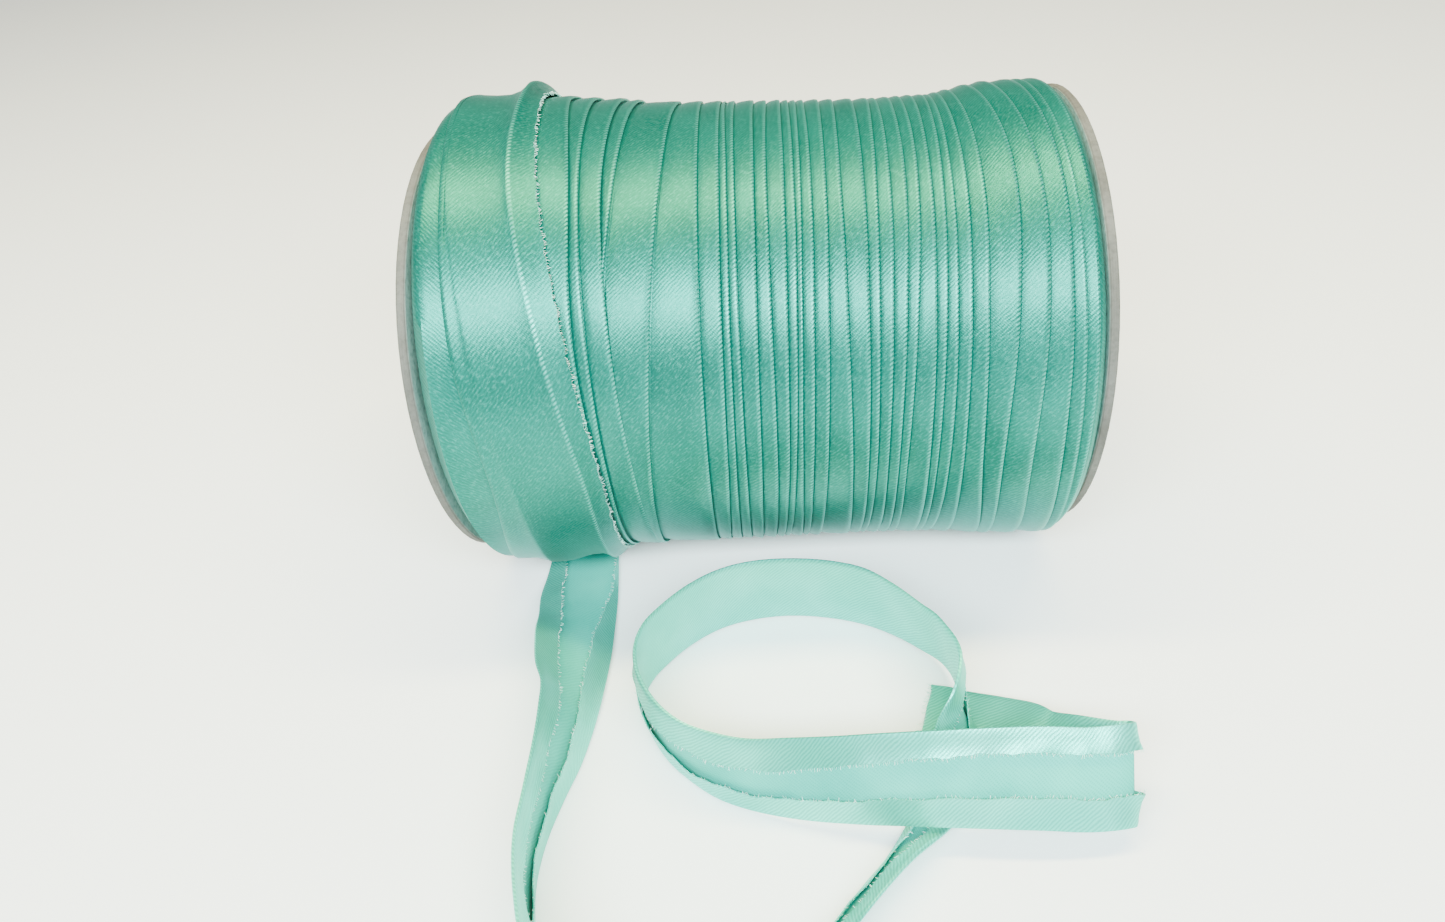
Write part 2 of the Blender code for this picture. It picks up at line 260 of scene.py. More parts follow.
lastTurn = {
    "left": (-64.9, -61.6, -59.6, -56.8, -61.8),       # its left fold, at the five angles
    "ridge": (-63.2, -60.0, -55.7, -52.4, -53.1),      # where the flap beneath prints through
    "raw": (-46.0, -42.3, -37.2, -33.8, -34.9),        # raw edge of the opened right flap
    "rightRise": (3.0, 1.5, 1.0, 1.1, 2.2),
    "over": 0.45,
    "rawWaver": 0.35,
    "slackX": -50.0, "slackAngle": 134.0, "slackWide": 6.5, "slackLong": 15.0, "slackHigh": 1.8,
    "startAngle": 176.0,
    "endAngle": -200.0,
    "stepDegrees": 2.0,
    "clothRadius": 56.0,
    "thick": 0.32,
    "footLeft": -61.0,     # where the turn beneath starts at the foot of the back
    "endLeft": -58.6, "endRight": -40.4,
}


def edgeRound(index, angle):
    row = turns["edges"][index]
    if angle >= turns["backFrom"]:
        return throughKnots(turns["angles"], row[:5], min(angle, turns["foot"]))
    share = smooth((turns["backFrom"] - angle) / (180.0 + turns["backFrom"]))
    return lerp(edgeRound(index, turns["backFrom"]), edgeRound(index - 1, turns["foot"]), share)


def riseRound(index, angle):
    top, foot = turns["edges"][index][5:]
    if angle >= 0.0:
        return lerp(top, foot, smooth(angle / 125.0))
    return lerp(top, turns["edges"][index - 1][6] if index > 1 else 0.6, smooth(-angle / 160.0))


def slackAt(x, angle):
    across = (x - lastTurn["slackX"]) / lastTurn["slackWide"]
    along = (angle - lastTurn["slackAngle"]) / lastTurn["slackLong"]
    return lastTurn["slackHigh"] * math.exp(-across * across - along * along)


def turnSection(index, angle, travel):
    right = edgeRound(index, angle) + turns["shift"] * wobble(travel * 0.08, index)
    if index > 1:
        left = edgeRound(index - 1, angle)
    elif angle >= turns["backFrom"]:
        left = throughKnots(turns["angles"], lastTurn["raw"], angle) - 1.0
    else:
        share = smooth((turns["backFrom"] - angle) / (180.0 + turns["backFrom"]))
        left = throughKnots(turns["angles"], lastTurn["raw"], turns["backFrom"]) - 1.0
        left = lerp(left, lastTurn["footLeft"], share)
    covered = turns["sink"] * smooth((turns["thinnest"] - (right - left)) / 1.5)
    wide = max(right - left, turns["thinnest"])
    left = right - wide
    fit = min(1.0, wide / turns["fullWide"])
    rise = riseRound(index, angle) * (0.85 + 0.15 * wobble(travel * 0.021, index + 5))
    high = rise * fit ** 0.5
    r = turns["foldRound"] * (0.6 + 0.4 * fit)
    outline = (
        (left - turns["tuck"], -1.15), (left - 0.4, -0.8), (left + 0.14 * wide, -0.16),
        (left + 0.38 * wide, 0.30 * high), (left + 0.64 * wide, 0.72 * high),
        (right - max(r, 0.24 * wide * fit), high), (right - 0.35 * r, high - 0.12 * r),
        (right, high - 0.62 * r), (right - 0.25 * r, high - 1.15 * r),
        (right - 0.9, min(-0.55, high - 1.3 * r)), (right - 1.3, -1.3),
        (left - turns["tuck"], -1.45),
    )
    section = []
    for n, (x, up) in enumerate(outline):
        radius = rollRadius(x, angle) + up - covered + slackAt(x, angle)
        section.append((rollPoint(x, angle, radius), right - x + (0.6 if n > 8 else 0.0), travel))
    return section


def lastSection(angle, travel):
    knots = turns["angles"]
    front = max(min(angle, turns["foot"]), turns["backFrom"])
    left, ridge, right, raw = (throughKnots(knots, row, front) for row in (
        lastTurn["left"], lastTurn["ridge"], turns["edges"][0][:5], lastTurn["raw"]))
    rise = throughKnots(knots, lastTurn["rightRise"], front)
    behind = smooth((turns["backFrom"] - angle) / 150.0)
    left = lerp(left, lastTurn["endLeft"], behind)
    right = lerp(right, lastTurn["endRight"], behind)
    ridge = lerp(ridge, left + 4.5, smooth(behind * 3.0))
    raw = lerp(raw, right + 1.2, smooth(behind * 5.0))
    rise = lerp(rise, 0.5, smooth(behind * 4.0))
    raw += lastTurn["rawWaver"] * wobble(travel * 0.9, 3.0, ((1.0, 1.0), (2.3, 0.8), (5.1, 0.7)))
    over = lastTurn["over"]
    flap = raw - right
    outer = (
        (left + 0.1, 0.0), (left, 0.28), (left + 0.3, 0.55), (left + 1.2, 0.62),
        (lerp(left, ridge, 0.55), 0.42), (ridge - 0.5, 0.5), (ridge, 0.66), (ridge + 0.6, 0.55),
        (lerp(ridge, right, 0.3), 0.3), (lerp(ridge, right, 0.6), 0.32),
        (lerp(ridge, right, 0.82), 0.28 + 0.3 * rise),
        (right - 0.8, 0.12 + 0.8 * rise), (right - 0.25, rise + 0.08), (right + 0.15, rise - 0.12),
        (right + 0.14 * flap + 0.2, 0.25 + 0.62 * rise), (right + 0.45 * flap, 0.25 + 0.34 * rise),
        (right + 0.8 * flap, 0.22 + 0.16 * rise), (raw, 0.32 + 0.1 * rise),
    )
    places = [(x, rollRadius(x, angle) + up + over + slackAt(x, angle)) for x, up in outer]
    section = [(rollPoint(x, angle, radius), right - x, travel) for x, radius in places]
    section += [(rollPoint(x, angle, radius - lastTurn["thick"]), right - x, travel)
                for x, radius in reversed(places)]
    return section


def innerForm(weaving):
    rows = [row[0] for row in spool["profile"]]
    stops = []
    for a, b in zip(rows, rows[1:]):
        count = max(1, round((b - a) / spool["innerStep"]))
        stops += [lerp(a, b, n / count) for n in range(count)]
    stops.append(rows[-1])
    steps = spool["innerSides"]
    run = spool["innerCloth"]
    start = len(weaving.points)
    for x in stops:
        for j in range(steps):
            angle = 360.0 * j / steps
            sunk = spool["innerSunk"] if spool["sunkFrom"] < x < spool["sunkTo"] else 0.0
            weaving.points.append(rollPoint(x, angle, rollRadius(x, angle) - sunk))
    for i in range(len(stops) - 1):
        for j in range(steps):
            k = (j + 1) % steps
            weaving.faces.append((start + i * steps + j, start + i * steps + k,
                                  start + (i + 1) * steps + k, start + (i + 1) * steps + j))
            weaving.cloth += [(-stops[i], j * run), (-stops[i], (j + 1) * run),
                              (-stops[i + 1], (j + 1) * run), (-stops[i + 1], j * run)]
            weaving.finish.append(0)
    for ring, x in ((0, stops[0]), (len(stops) - 1, stops[-1])):
        hub = len(weaving.points)
        ringPoints = weaving.points[start + ring * steps:start + (ring + 1) * steps]
        weaving.points.append(tuple(sum(axis) / steps for axis in zip(*ringPoints)))
        for j in range(steps):
            k = (j + 1) % steps
            weaving.faces.append((hub, start + ring * steps + k, start + ring * steps + j))
            weaving.cloth += [(-x, 0.0)] * 3
            weaving.finish.append(0)


def lastSections(toAngle):
    # every section of the last turn down to an angle; the tape runs on from the turns before
    travel = 0.0
    for _ in range((len(turns["edges"]) - 1) * int(360.0 / turns["stepDegrees"])):
        travel += math.radians(turns["stepDegrees"]) * turns["clothRadius"]
    angle = lastTurn["startAngle"]
    rows = []
    while angle >= toAngle:
        rows.append(lastSection(angle, travel))
        travel += math.radians(lastTurn["stepDegrees"]) * lastTurn["clothRadius"]
        angle -= lastTurn["stepDegrees"]
    return rows


def windTape(materials):
    weaving = Weaving()
    innerForm(weaving)
    step = turns["stepDegrees"]
    count = int(360.0 / step)
    sections = []
    travel = 0.0
    for index in range(len(turns["edges"]) - 1, 0, -1):     # wound from right to left
        for n in range(count):
            sections.append(turnSection(index, 180.0 - n * step, travel))
            travel += math.radians(step) * turns["clothRadius"]
    weaving.strip(sections, [0] * len(sections[0]))
    sections = lastSections(lastTurn["endAngle"])
    size = len(sections[0])
    weaving.strip(sections, [0 if j < size // 2 - 1 else 1 for j in range(size)])
    return weaving.piece("windings", materials)


# loose end: stations of its middle line, with the way across it and half its width
loose = {
    "route": (        # x, y, height, heading and slope of the way across, half width
        (-49.4, -27.0, 0.8, 0, 0, 8.8),
        (-49.3, -35.0, 0.8, 0, 0, 9.3),
        (-48.9, -45.0, 2.2, 0, -9, 9.7),
        (-48.0, -56.0, 4.4, 0, -22, 9.5),
        (-47.4, -67.0, 7.0, 0, -39, 10.0),
        (-46.7, -79.0, 8.9, 0, -53, 10.0),
        (-46.0, -86.0, 9.7, 0, -65, 10.0),
        (-46.4, -94.0, 10.1, 0, -72, 10.0),
        (-47.6, -103.0, 10.3, 0, -81, 10.0),
        (-49.0, -114.0, 10.3, 0, -88, 10.0),
        (-49.4, -124.0, 10.3, 0, -89, 10.0),
        (-47.6, -135.0, 10.3, 30, -89, 10.0),
        (-43.5, -147.0, 10.3, 45, -89, 10.0),
        (-34.5, -157.0, 10.3, 60, -88, 10.0),
        (-22.5, -161.8, 10.3, 90, -86, 10.0),
        (-10.0, -159.0, 9.6, 120, -80, 9.3),
        (0.5, -150.2, 7.6, 135, -70, 7.5),
        (6.5, -141.4, 5.9, 140, -60, 6.0),
        (11.6, -134.2, 4.9, 142, -54, 5.0),
        (17.8, -126.9, 4.7, 145, -52, 5.0),
        (22.5, -121.8, 4.4, 146, -48, 4.8),
        (26.6, -117.0, 3.5, 146, -34, 4.6),
        (30.0, -112.2, 2.3, 146, -14, 4.5),
        (32.7, -107.2, 2.6, 148, 14, 5.0),
        (35.2, -101.8, 5.2, 150, 38, 6.0),
        (37.0, -96.4, 8.2, 155, 58, 7.0),
        (38.6, -91.0, 11.3, 166, 79, 9.0),
        (39.2, -85.0, 12.3, 178, 86, 9.9),
        (38.2, -78.2, 12.2, 188, 80, 10.0),
        (36.0, -71.9, 11.2, 212, 77, 10.0),
        (32.6, -67.3, 10.6, 220, 79, 10.0),
        (27.6, -62.1, 10.4, 235, 82, 10.0),
        (21.3, -57.5, 10.4, 250, 86, 10.0),
        (13.9, -54.8, 10.4, 260, 87, 10.0),
        (4.0, -53.3, 10.4, 270, 87, 10.0),
        (-5.4, -53.9, 10.4, 280, 88, 10.0),
        (-12.7, -56.2, 10.4, 300, 88, 10.0),
        (-19.5, -60.7, 10.4, 320, 88, 10.0),
        (-25.2, -66.6, 10.4, 330, 88, 10.0),
        (-29.0, -72.2, 10.4, 0, 88, 10.0),
        (-30.5, -77.8, 10.4, 10, 88, 10.0),
        (-29.5, -83.9, 10.4, 200, 89, 10.0),
        (-26.9, -90.1, 10.4, 220, 88, 10.0),
        (-23.6, -95.2, 10.4, 240, 88, 10.0),
        (-19.1, -99.6, 10.4, 250, 89, 10.0),
        (-13.4, -103.2, 10.4, 90, 86, 10.0),
        (-6.0, -106.0, 10.5, 88, 82, 10.0),
        (3.0, -107.9, 11.3, 86, 75, 10.0),
        (13.3, -109.8, 12.9, 86, 70, 10.0),
        (23.7, -111.5, 14.9, 86, 65, 10.0),
        (36.7, -112.3, 15.5, 85, 58, 10.0),
        (50.6, -112.2, 14.6, 84, 50, 10.0),
        (59.6, -112.1, 13.5, 84, 48, 10.0),
        (66.6, -111.2, 12.9, 84, 47, 10.0),
        (68.9, -110.2, 12.0, 84, 47, 10.0),
        (68.9, -108.8, 10.6, 84, 47, 10.0),
        (66.6, -108.0, 9.8, 84, 46, 10.0),
        (60.0, -104.9, 7.9, 84, 37, 10.0),
        (53.0, -99.8, 5.0, 82, 20, 9.7),
        (46.5, -93.3, 2.5, 79, 7, 10.0),
        (40.2, -89.2, 0.9, 76, 0, 10.0),
        (31.9, -86.3, 0.8, 75, 0, 10.0),
    ),
    "spacing": 1.25,
    "cloth": 0.26,           # thickness
    "fullHalf": 10.0,        # half width of a strip that lies fully spread
    "flaps": (               # distance along, port flap, starboard flap
        (0.0, 0.4, 5.0),
        (14.0, 1.2, 5.2),
        (34.0, 5.4, 5.6),
        (60.0, 6.8, 5.8),
        (100.0, 6.4, 5.6),
        (160.0, 6.0, 6.0),
        (240.0, 5.6, 6.4),
        (300.0, 6.2, 6.2),
        (340.0, 6.6, 5.6),
        (365.0, 7.8, 5.4),
        (395.0, 7.4, 5.4),
        (425.0, 5.4, 6.2),
        (445.0, 4.9, 6.4),
        (520.0, 6.0, 6.0),
    ),
    "rawWaver": 0.3,
    "rawLift": 0.62,
    "cutWaver": 0.5,
    "least": 0.02,           # lowest the cloth lies over the table
    "hairpinLift": 0.9,      # the flaps open a little where the strip is folded back
    "hairpinLong": 1.6,
}


def stationValues(row):
    x, y, height, heading, slope, half = row
    h, s = math.radians(heading), math.radians(slope)
    return (x, y, height, math.cos(s) * math.cos(h), math.cos(s) * math.sin(h), math.sin(s), half)


def walkRoute():
    rows = [stationValues(row) for row in loose["route"]]
    stations = []
    for i in range(len(rows) - 1):
        a, b = rows[max(i - 1, 0)], rows[i]
        c, d = rows[i + 1], rows[min(i + 2, len(rows) - 1)]
        run = math.dist(b[:3], c[:3])
        before = max(math.dist(a[:3], b[:3]), 0.3 * run)
        after = max(math.dist(c[:3], d[:3]), 0.3 * run)
        count = max(3, round(run / loose["spacing"]))
        for j in range(count):
            t = j / count
            values = []
            for va, vb, vc, vd in zip(a, b, c, d):
                out = ((vc - vb) / run + (vb - va) / before) / 2.0 * run
                into = ((vd - vc) / after + (vc - vb) / run) / 2.0 * run
                values.append(vb * (2 * t ** 3 - 3 * t * t + 1) + out * (t ** 3 - 2 * t * t + t)
                              + vc * (3 * t * t - 2 * t ** 3) + into * (t ** 3 - t * t))
            stations.append(values)
    stations.append(list(rows[-1]))
    middles = [Vector(s[:3]) for s in stations]
    frames = []
    travel = 0.0
    for i, station in enumerate(stations):
        along = (middles[min(i + 1, len(middles) - 1)] - middles[max(i - 1, 0)]).normalized()
        across = Vector(station[3:6])
        across = (across - along * across.dot(along)).normalized()
        if i:
            travel += (middles[i] - middles[i - 1]).length
        frames.append((middles[i], along, across, along.cross(across), station[6], travel))
    return frames


def flapWidths(travel):
    rows = loose["flaps"]
    knots = [row[0] for row in rows]
    port = throughKnots(knots, [row[1] for row in rows], travel)
    starboard = throughKnots(knots, [row[2] for row in rows], travel)
    waver = loose["rawWaver"]
    quick = ((1.0, 1.0), (2.7, 0.7), (6.1, 0.5))
    return (max(port + waver * wobble(travel * 0.55, 1.0, quick), 0.25),
            starboard + waver * wobble(travel * 0.55, 7.0, quick))


def halfSection(half, flap, lift):
    # middle of the cloth from the strip's middle line out to the fold and back along the flap
    k = half / loose["fullHalf"]
    flap *= k
    edge = half
    return (
        (0.0, -0.27), (0.3 * edge, -0.27), (0.6 * edge, -0.27), (edge - 1.4 * k, -0.27),
        (edge - 0.5 * k, -0.22), (edge - 0.12, -0.02), (edge - 0.16, 0.2),
        (edge - min(0.8, 0.4 * flap), 0.36), (edge - 0.4 * flap, 0.34 + 0.15 * lift),
        (edge - 0.75 * flap, 0.36 + 0.5 * lift), (edge - flap, 0.4 + lift),
    )


def looseRing(frameAt, bend):
    middle, along, across, wrong, half, travel = frameAt
    port, starboard = flapWidths(travel)
    liftPort, liftStarboard = (
        loose["rawLift"] * (1.0 + 0.6 * wobble(travel * 0.4, seed)) + bend for seed in (2.0, 9.0))
    right = halfSection(half, port, liftPort)
    left = halfSection(half, starboard, liftStarboard)
    path = [(-u, v) for u, v in reversed(left)] + list(right[1:])
    clothAt = []
    run = 0.0
    for n, (u, v) in enumerate(path):
        if n:
            run += math.dist(path[n - 1], (u, v))
        clothAt.append(run)
    thick = loose["cloth"] / 2.0
    outer, inner = [], []
    for n, (u, v) in enumerate(path):
        before, after = path[max(n - 1, 0)], path[min(n + 1, len(path) - 1)]
        du, dv = after[0] - before[0], after[1] - before[1]
        size = math.hypot(du, dv) or 1.0
        nu, nv = dv / size * thick, -du / size * thick      # towards the satin side
        here = clothAt[n]
        outer.append((tuple(middle + across * (u + nu) + wrong * (v + nv)), here, travel))
        inner.append((tuple(middle + across * (u - nu) + wrong * (v - nv)), here, travel))
    rawSpots = []
    for spot, way in ((path[0], 1.0), (path[-1], -1.0)):
        rawSpots.append((middle + across * spot[0] + wrong * spot[1],
                         across * way * 0.9 + wrong * 0.35))
    return outer, inner, rawSpots


def layLooseEnd(materials):
    weaving = Weaving()
    frames = walkRoute()
    total = frames[-1][5]
    hairpin = max(frames, key=lambda f: f[0].x)[5]
    sections, raws = [], []
    for frameAt in frames:
        travel = frameAt[5]
        nearHairpin = math.exp(-((travel - hairpin) / loose["hairpinLong"]) ** 2)
        outer, inner, rawSpots = looseRing(frameAt, loose["hairpinLift"] * nearHairpin)
        ring = outer + inner[::-1]
        lowest = min(p[0][2] for p in ring)
        if lowest < loose["least"]:
            up = Vector((0.0, 0.0, loose["least"] - lowest))
            ring = [(tuple(Vector(p) + up), u, v) for p, u, v in ring]
            rawSpots = [(spot + up, way) for spot, way in rawSpots]
        sections.append(ring)
        raws.append(rawSpots)
    end = len(sections) - 1
    along = frames[end][1]
    for back in range(4):                      # the cut isn't quite straight
        row = sections[end - back]
        for n, (p, u, v) in enumerate(row):
            push = loose["cutWaver"] * wobble(u * 2.2, 4.0) * (1.0 - back / 4.0)
            row[n] = (tuple(Vector(p) + along * push), u, v)
    size = len(sections[0])
    half = size // 2
    weaving.strip(sections, [0 if j < half - 1 else 1 for j in range(size)])
    item = weaving.piece("looseTape", materials)
    cutSpots = [(Vector(p), along) for p, _, _ in sections[end][:half]]
    print("loose end laid, %.0f mm long" % total)
    return item, raws, cutSpots


# frayed threads along raw edges
fray = {
    "length": 0.62,
    "thick": 0.085,
    "perMm": 2.6,
    "seed": 7,
    "cutLength": 1.1,
    "cutPerMm": 4.16,
    "flapPerMm": 3.38,
    "flapUntil": -60.0,      # angle round the roll where the flap's fray ends
    "spread": 0.08,
    "wideSpread": 0.1,
    "least": 0.03,           # lowest a thread lies over the table
    "pale": (0.72, 0.95, 0.87),
    "tone": (0.30, 0.78, 0.66),
}


def frayTree(material):
    tree = bpy.data.node_groups.new("frayedThreads", "GeometryNodeTree")
    face = tree.interface
    face.new_socket("Geometry", in_out="INPUT", socket_type="NodeSocketGeometry")
    sockets = {}
    for name, kind, value in (("threadLength", "NodeSocketFloat", 0.0008),
                              ("threadRadius", "NodeSocketFloat", 0.00003),
                              ("seed", "NodeSocketInt", 1)):
        socket = face.new_socket(name, in_out="INPUT", socket_type=kind)
        socket.default_value = value
        sockets[name] = socket.identifier
    face.new_socket("Geometry", in_out="OUTPUT", socket_type="NodeSocketGeometry")
    add, link = tree.nodes.new, tree.links.new
    into, out = add("NodeGroupInput"), add("NodeGroupOutput")

    line = add("GeometryNodeCurvePrimitiveBezierSegment")   # one thread, a little curled
    line.inputs["Resolution"].default_value = 3
    for side, up, start in ((0.0, 0.0, "Start"), (0.12, 0.4, "Start Handle"),
                            (0.42, 0.75, "End Handle"), (0.3, 1.0, "End")):
        scale = add("ShaderNodeVectorMath")
        scale.operation = "SCALE"
        scale.inputs[0].default_value = (side, 0.0, up)
        link(into.outputs["threadLength"], scale.inputs["Scale"])
        link(scale.outputs[0], line.inputs[start])
    ring = add("GeometryNodeCurvePrimitiveCircle")
    ring.inputs["Resolution"].default_value = 3
    link(into.outputs["threadRadius"], ring.inputs["Radius"])
    sweep = add("GeometryNodeCurveToMesh")
    sweep.inputs["Fill Caps"].default_value = True
    link(line.outputs[0], sweep.inputs["Curve"])
    link(ring.outputs[0], sweep.inputs["Profile Curve"])

    way = add("GeometryNodeInputNamedAttribute")
    way.data_type = "FLOAT_VECTOR"
    way.inputs["Name"].default_value = "way"
    align = add("FunctionNodeAlignRotationToVector")
    align.axis = "Z"
    link(way.outputs["Attribute"], align.inputs["Vector"])
    spin = add("FunctionNodeRandomValue")
    spin.data_type = "FLOAT_VECTOR"
    spin.inputs[0].default_value = (-0.55, -0.75, -3.1)
    spin.inputs[1].default_value = (0.55, 0.75, 3.1)
    link(into.outputs["seed"], spin.inputs["Seed"])
    toTurn = add("FunctionNodeEulerToRotation")
    link(spin.outputs[0], toTurn.inputs[0])
    turnBy = add("FunctionNodeRotateRotation")
    turnBy.rotation_space = "LOCAL"
    link(align.outputs[0], turnBy.inputs[0])
    link(toTurn.outputs[0], turnBy.inputs[1])
    sizeBy = add("FunctionNodeRandomValue")
    sizeBy.data_type = "FLOAT"
    sizeBy.inputs[2].default_value = 0.35
    sizeBy.inputs[3].default_value = 1.35
    link(into.outputs["seed"], sizeBy.inputs["Seed"])

    place = add("GeometryNodeInstanceOnPoints")
    link(into.outputs["Geometry"], place.inputs["Points"])
    link(sweep.outputs[0], place.inputs["Instance"])
    link(turnBy.outputs[0], place.inputs["Rotation"])
    link(sizeBy.outputs[1], place.inputs["Scale"])
    real = add("GeometryNodeRealizeInstances")
    paint = add("GeometryNodeSetMaterial")
    paint.inputs["Material"].default_value = material
    link(place.outputs[0], real.inputs[0])
    link(real.outputs[0], paint.inputs["Geometry"])
    link(paint.outputs[0], out.inputs[0])
    return tree, sockets


def growFray(name, spots, length, tree, sockets, material, seed):
    mesh = bpy.data.meshes.new(name + "Spots")
    mesh.from_pydata([spot * 0.001 for spot, _ in spots], [], [])
    layer = mesh.attributes.new("way", "FLOAT_VECTOR", "POINT")
    for n, (_, way) in enumerate(spots):
        layer.data[n].vector = way
    seedItem = bpy.data.objects.new(name + "Spots", mesh)
    bpy.context.collection.objects.link(seedItem)
    grow = seedItem.modifiers.new("fray", "NODES")
    grow.node_group = tree
    grow[sockets["threadLength"]] = length * 0.001
    grow[sockets["threadRadius"]] = fray["thick"] * 0.0005
    grow[sockets["seed"]] = seed
    shown = seedItem.evaluated_get(bpy.context.evaluated_depsgraph_get())
    done = bpy.data.meshes.new_from_object(shown)
    done.name = name
    for corner in done.vertices:               # threads over the table lie down on it
        corner.co.z = max(corner.co.z, fray["least"] * 0.001)
    item = bpy.data.objects.new(name, done)
    bpy.context.collection.objects.link(item)
    if not done.materials:
        done.materials.append(material)
    bpy.data.objects.remove(seedItem, do_unlink=True)
    print(name, len(done.polygons), "faces")
    return item


def spotsAlong(line, perMm, rng, jitter):
    # points spread along a raw edge, given as rows of (place, way out)
    spots = []
    for (a, wayA), (b, wayB) in zip(line, line[1:]):
        run = (b - a).length
        count = max(1, round(run * perMm))
        for n in range(count):
            t = (n + rng.random()) / count
            spot = a.lerp(b, t) + Vector([rng.uniform(-jitter, jitter) for _ in range(3)])
            spots.append((spot, wayA.lerp(wayB, t)))
    return spots


# finishes
satin = {
    "deep": (0.0, 0.075, 0.05),
    "body": (0.0, 0.125, 0.092),
    "light": (0.0, 0.175, 0.132),
    "looseLitBody": (0.04, 0.55, 0.43),      # the loose end's copies are painted paler, in place of the light that falls on it
    "looseLitLight": (0.10, 0.68, 0.55),
    "looseWrong": (0.01, 0.40, 0.32),
    "wrong": (0.01, 0.30, 0.22),
    # paler thread tone, used for the painted fold highlight and the painted glint specks
    "thread": (0.08, 0.50, 0.41),
    "twillPitch": 0.68,       # mm between the weave's slanting lines
    "crossPitch": 0.42,
    "dashPitch": 0.95,        # threads that cross a fold edge, painted paler there as a highlight
    "roughness": 0.25,
    "gloss": 0.55,            # how much of the shine takes the dye's colour
    "wrongRoughness": 0.62,
    "wrongGloss": 0.12,
    "bump": 0.6,
    "bumpDeep": 0.05,
    "sheen": 0.05,
    "sheenTint": (0.75, 1.0, 0.95),
    "shineTint": (0.42, 1.0, 0.93),
    "lineDark": 0.4,          # share of the deep tone between the slanting lines
    "wrongDark": 0.35,
    # share of the painted glint specks along the thread floats
    "speckGlint": 0.4,
    # share of the painted highlight along fold edges
    "foldHighlight": 0.6,
}
board = {
    "pale": (0.22, 0.36, 0.32),           # both faces; the rims are greyer
    "paler": (0.28, 0.42, 0.38),
    "rim": (0.085, 0.078, 0.066),
    "dark": (0.04, 0.038, 0.033),
    "worn": (0.15, 0.142, 0.125),
    "rimFrom": 51.8,                       # radius where the face turns into the rim
    "rimTo": 52.3,
    "plies": (2600.0, 60.0, 60.0),         # thin layers across the board
}


class Finish:
    # a material with short calls to add its nodes
    def __init__(self, name):
        self.material = bpy.data.materials.new(name)
        self.material.use_nodes = True
        self.tree = self.material.node_tree
        self.shader = self.tree.nodes["Principled BSDF"]

    def node(self, kind, **settings):
        made = self.tree.nodes.new(kind)
        for key, value in settings.items():
            setattr(made, key, value)
        return made

    def link(self, a, b):
        self.tree.links.new(a, b)

    def maths(self, operation, a, b=None):
        made = self.node("ShaderNodeMath", operation=operation)
        for n, value in enumerate((a, b)):
            if value is None:
                continue
            if isinstance(value, (int, float)):
                made.inputs[n].default_value = value
            else:
                self.link(value, made.inputs[n])
        return made.outputs[0]

    def mix(self, share, a, b):
        made = self.node("ShaderNodeMix", data_type="RGBA")
        self.link(share, made.inputs[0])
        for value, socket in ((a, made.inputs[6]), (b, made.inputs[7])):
            if isinstance(value, tuple):
                socket.default_value = (*value, 1.0)
            else:
                self.link(value, socket)
        return made.outputs[2]

    def noise(self, vector, scale, detail=2.0, rough=0.5):
        made = self.node("ShaderNodeTexNoise")
        made.inputs["Scale"].default_value = scale
        made.inputs["Detail"].default_value = detail
        made.inputs["Roughness"].default_value = rough
        self.link(vector, made.inputs["Vector"])
        return made.outputs["Fac"]

    def lines(self, value, pitch):
        return self.maths("SINE", self.maths("MULTIPLY", value, 2.0 * math.pi / pitch))

    def ramp(self, value, low, high):
        made = self.node("ShaderNodeMapRange")
        made.inputs["From Min"].default_value = low
        made.inputs["From Max"].default_value = high
        self.link(value, made.inputs["Value"])
        return made.outputs["Result"]


